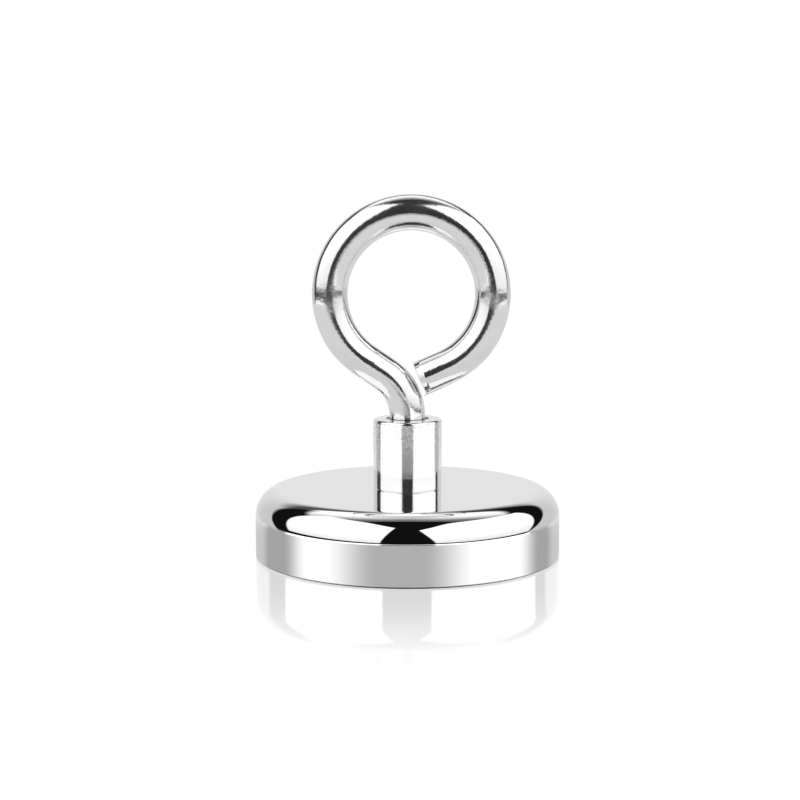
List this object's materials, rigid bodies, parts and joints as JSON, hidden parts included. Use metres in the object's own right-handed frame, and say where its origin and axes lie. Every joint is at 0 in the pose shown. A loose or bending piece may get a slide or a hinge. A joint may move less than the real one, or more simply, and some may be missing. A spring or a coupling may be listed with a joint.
{
  "type": "fishing magnet",
  "caption": "Round steel pot magnet with a threaded boss and a bent-wire eyebolt that screws out, for lifting ferrous things on a rope.",
  "frame": {"origin": "centre of the working face, which is the cup's open rim, on the cup's axis", "axes": "+Z along the cup's axis from the working face up to the eye, +Y from front to back, the eye in the XZ plane with its free end on the +X side"},
  "size_m": [0.06, 0.06, 0.0709],
  "materials": {
    "cup_plating": "mirror-bright nickel-chrome plating over fine turning marks",
    "magnet_plating": "dull nickel plating on sintered neodymium",
    "potting_resin": "black epoxy, slightly glossy, hollow meniscus",
    "bush_brass": "turned brass",
    "screw_plating": "zinc plating, satin",
    "boss_plating": "bright nickel-chrome plating, lightly speckled",
    "wire_plating": "bright nickel-chrome plating on drawn wire, with bending marks",
    "thread_lock": "cured thread-lock, glossy"
  },
  "bodies": {
    "magnet": {"steel_cup": "cup_plating", "ring_magnet": "magnet_plating", "outer_potting": "potting_resin", "inner_potting": "potting_resin", "centre_bush": "bush_brass", "clamp_screw": "screw_plating", "threaded_boss": "boss_plating"},
    "lock_bead": {"thread_lock_bead": "thread_lock"},
    "eyebolt": {"eyebolt": "wire_plating"}
  },
  "joints": [
    {"name": "eyebolt_lift", "type": "slide", "parent": "magnet", "child": "lock_bead", "axis": [0, 0, 1], "range_m": [0, 0.0035]},
    {"name": "eyebolt_turn", "type": "hinge", "parent": "lock_bead", "child": "eyebolt", "pos_m": [0, 0, 0.0271], "axis": [0, 0, 1], "range_deg": [0, 990]}
  ],
  "couplings": [
    {"joint": "eyebolt_lift", "follows": "eyebolt_turn", "m_per_rad": 0.00019894}
  ]
}
